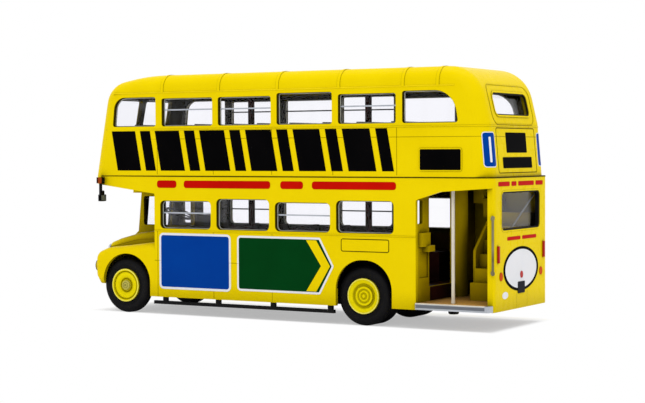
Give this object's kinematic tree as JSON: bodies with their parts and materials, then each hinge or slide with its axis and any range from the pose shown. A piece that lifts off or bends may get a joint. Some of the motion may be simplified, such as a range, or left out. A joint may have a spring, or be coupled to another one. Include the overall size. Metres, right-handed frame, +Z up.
{
  "type": "diecast model of a half-cab double decker bus",
  "caption": "Small diecast model of a half-cab double decker bus with an open rear platform, its two axles rolling freely.",
  "frame": {"origin": "on the ground, on the centre line, half way along the bus", "axes": "+X towards the front of the bus, +Y towards its nearside with the platform, +Z up"},
  "size_m": [0.1105, 0.0352, 0.0589],
  "materials": {
    "body_paint": "gloss yellow paint",
    "wheel_paint": "gloss yellow paint",
    "inner_yellow": "satin yellow plastic",
    "interior": "dark maroon plastic",
    "seat_cloth": "dark maroon plastic",
    "tan_deck": "printed wood strips",
    "bright_metal": "bright plated",
    "clear": "clear moulded plastic",
    "black_plastic": "satin black",
    "lamp_glass": "clear lens over silver",
    "amber_lens": "amber lens",
    "red_lens": "red lens",
    "tyre": "black rubber",
    "axle_steel": "plain steel"
  },
  "bodies": {
    "body": {"upper_body": "body_paint", "lower_body": "body_paint", "canopy": "body_paint", "cab": "body_paint", "near_wing": "body_paint", "bonnet": "body_paint", "radiator_grille": "bright_metal", "headlamps": "lamp_glass", "indicator_ears": "amber_lens", "near_mirror": "black_plastic", "off_mirror": "black_plastic", "rear_lamps": "red_lens", "platform_floor": "tan_deck", "platform_edge": "bright_metal", "platform_pole": "bright_metal", "corner_handrail": "bright_metal", "staircase": "inner_yellow", "lower_interior": "interior", "upper_interior": "interior", "driver_seat": "interior", "steering_wheel": "black_plastic", "lower_glazing": "clear", "upper_glazing": "clear", "chassis": "black_plastic", "life_rail_near": "black_plastic", "life_rail_off": "black_plastic", "fuel_tank": "black_plastic", "silencer": "black_plastic", "platform_bulkhead": "inner_yellow", "cab_glazing": "clear", "upper_seats_near": "seat_cloth", "upper_seats_off": "seat_cloth", "lower_seats_near": "seat_cloth", "lower_seats_off": "seat_cloth"},
    "front_wheels": {"front_tyre_near": "tyre", "front_tyre_off": "tyre", "front_hub_near": "wheel_paint", "front_hub_off": "wheel_paint", "front_axle": "axle_steel"},
    "rear_wheels": {"rear_tyre_near": "tyre", "rear_tyre_off": "tyre", "rear_hub_near": "wheel_paint", "rear_hub_off": "wheel_paint", "rear_axle": "axle_steel"}
  },
  "joints": [
    {"name": "front_wheels_roll", "type": "hinge", "parent": "body", "child": "front_wheels", "pos_m": [0.04525, 0, 0.0068], "axis": [0, 1, 0], "continuous": true},
    {"name": "rear_wheels_roll", "type": "hinge", "parent": "body", "child": "rear_wheels", "pos_m": [-0.02225, 0, 0.0068], "axis": [0, 1, 0], "continuous": true}
  ]
}
